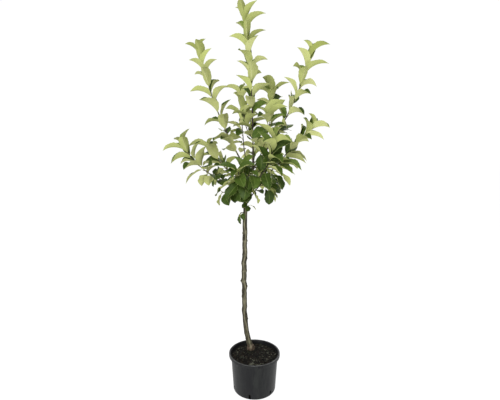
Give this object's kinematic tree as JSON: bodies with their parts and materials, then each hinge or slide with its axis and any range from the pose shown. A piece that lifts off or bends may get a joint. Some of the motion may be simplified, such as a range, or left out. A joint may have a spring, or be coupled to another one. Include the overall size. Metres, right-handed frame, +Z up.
{
  "type": "potted dwarf apple tree",
  "caption": "Dwarf apple tree with a bushy leafy head on a slender bare stem, standing in a round black nursery pot.",
  "frame": {"origin": "centre of the pot's flat underside, on the surface that the pot stands on", "axes": "+Z up along the pot's axis, -Y towards the front of the tree, +X to the right of someone facing it"},
  "size_m": [0.7203, 0.5211, 1.7954],
  "materials": {
    "pot": "satin",
    "soil": "matte",
    "bark": "matte",
    "shoot_bark": "satin",
    "foliage": "satin"
  },
  "bodies": {
    "root": {"pot": "pot", "soil": "soil", "trunk": "bark", "bough_leader": "shoot_bark", "bough_left_tall": "shoot_bark", "bough_right_tall": "shoot_bark", "bough_left_low": "shoot_bark", "bough_left_mid": "shoot_bark", "bough_right_low": "shoot_bark", "bough_back_right": "shoot_bark", "bough_back_left": "shoot_bark", "bough_front_right": "shoot_bark", "bough_front_low": "shoot_bark", "bough_left_under": "shoot_bark", "bough_back_low": "shoot_bark", "bough_back_turn": "shoot_bark", "leaves_leader": "foliage", "leaves_left_tall": "foliage", "leaves_right_tall": "foliage", "leaves_left_low": "foliage", "leaves_left_mid": "foliage", "leaves_right_low": "foliage", "leaves_back_right": "foliage", "leaves_back_left": "foliage", "leaves_front_right": "foliage", "leaves_front_low": "foliage", "leaves_left_under": "foliage", "leaves_back_low": "foliage", "leaves_back_turn": "foliage", "leaves_stem_left": "foliage", "leaves_stem_right": "foliage"}
  },
  "joints": []
}
